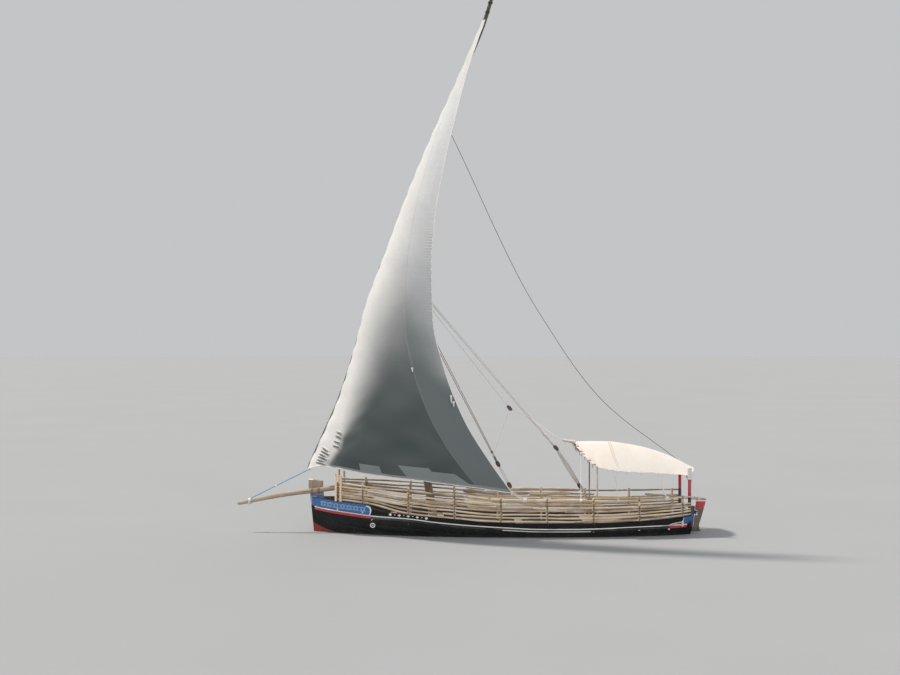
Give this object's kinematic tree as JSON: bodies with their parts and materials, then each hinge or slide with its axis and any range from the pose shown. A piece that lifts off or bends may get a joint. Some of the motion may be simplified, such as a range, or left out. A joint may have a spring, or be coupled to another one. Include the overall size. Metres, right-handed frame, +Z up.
{
  "type": "lateen-rigged sailing dhow",
  "caption": "Open wooden dhow with a raked mast, a long yard with one lateen sail, pole screens, an awning aft and a hung rudder.",
  "frame": {"origin": "centreline at the waterline, amidships", "axes": "+X towards the stern, +Y towards starboard, +Z up"},
  "size_m": [14.8713, 3.9944, 17.8329],
  "materials": {
    "tarred_wood": "black tar and oil paint over planks, matt, worn brown at edges",
    "weathered_wood": "bare sun-greyed hardwood with open grain",
    "rudder_paint": "red painted head with a cream line, worn grey wood below",
    "pole_wood": "peeled mangrove poles, dry and tan, darker at knots",
    "white_paint": "chalky white oil paint, scuffed",
    "sailcloth": "hand-sewn cotton canvas, grey-beige, sun-bleached",
    "awning_cloth": "cream-white cotton cloth",
    "rope": "laid natural fibre rope",
    "iron": "forged iron, rust-brown"
  },
  "bodies": {
    "hull": {"planking_port": "tarred_wood", "planking_starboard": "tarred_wood", "keel": "tarred_wood", "stern_post": "tarred_wood", "transom": "tarred_wood", "corner_post_port": "tarred_wood", "corner_post_starboard": "tarred_wood", "stem_post": "weathered_wood", "frames_port": "weathered_wood", "frames_starboard": "weathered_wood", "floor_boards": "weathered_wood", "foredeck": "weathered_wood", "aft_deck": "weathered_wood", "mast_thwart": "weathered_wood", "thwart_fore": "weathered_wood", "thwart_mid": "weathered_wood", "mast_step": "weathered_wood", "mast": "weathered_wood", "bowsprit": "weathered_wood", "backstay_block": "weathered_wood", "shroud_block": "weathered_wood", "pole_screen_port": "pole_wood", "pole_screen_starboard": "pole_wood", "bow_rail_fore": "pole_wood", "bow_rail_aft": "pole_wood", "stern_rail": "pole_wood", "awning_ridge_pole": "pole_wood", "awning_hoop_fore": "pole_wood", "awning_hoop_aft": "pole_wood", "wale_port": "white_paint", "wale_starboard": "white_paint", "oculus_port": "white_paint", "oculus_starboard": "white_paint", "awning": "awning_cloth", "backstay": "rope", "backstay_tackle": "rope", "shroud": "rope", "shroud_tackle": "rope", "gudgeon_lower": "iron", "gudgeon_upper": "iron"},
    "yard_rig": {"yard": "weathered_wood", "yard_collar": "rope", "sail": "sailcloth"},
    "rudder": {"rudder_blade": "rudder_paint", "tiller": "pole_wood", "pintle_lower": "iron", "pintle_upper": "iron"}
  },
  "joints": [
    {"name": "yard_swing", "type": "hinge", "parent": "hull", "child": "yard_rig", "pos_m": [-2.23, 0, 0.9], "axis": [-0.1665, 0, 0.986], "range_deg": [-45, 15]},
    {"name": "rudder_turn", "type": "hinge", "parent": "hull", "child": "rudder", "pos_m": [5.965, 0, 0], "axis": [0.0995, 0, 0.995], "range_deg": [-35, 35]}
  ]
}
